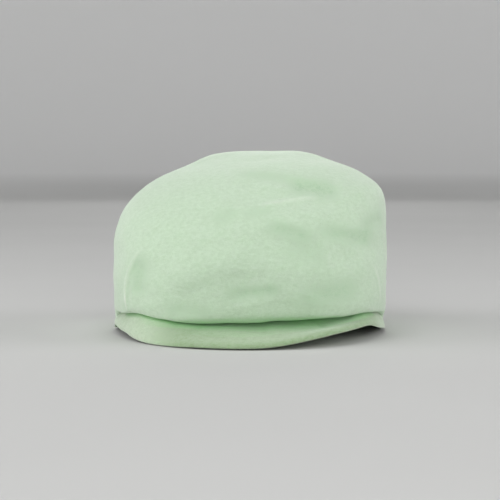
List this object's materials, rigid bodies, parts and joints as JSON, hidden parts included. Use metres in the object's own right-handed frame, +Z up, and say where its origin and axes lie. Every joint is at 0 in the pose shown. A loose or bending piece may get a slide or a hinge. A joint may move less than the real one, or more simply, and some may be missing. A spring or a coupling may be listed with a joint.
{
  "type": "hunting cap",
  "caption": "Soft flat cap of brushed cloth, its full front rolling over a short stiff peak, open below for the head.",
  "frame": {"origin": "middle of the head opening, level with the lower edge of the hem", "axes": "+Z up through the crown, -Y forward over the peak, +X to the right seen from in front of the peak"},
  "size_m": [0.1901, 0.2398, 0.1251],
  "materials": {
    "brushed_cloth": "matte pale mint cloth with a short brushed nap",
    "peak_cloth": "the same brushed cloth drawn over a stiff board"
  },
  "bodies": {
    "root": {"top_panel": "brushed_cloth", "side_panel_left": "brushed_cloth", "side_panel_right": "brushed_cloth", "peak": "peak_cloth"}
  },
  "joints": []
}
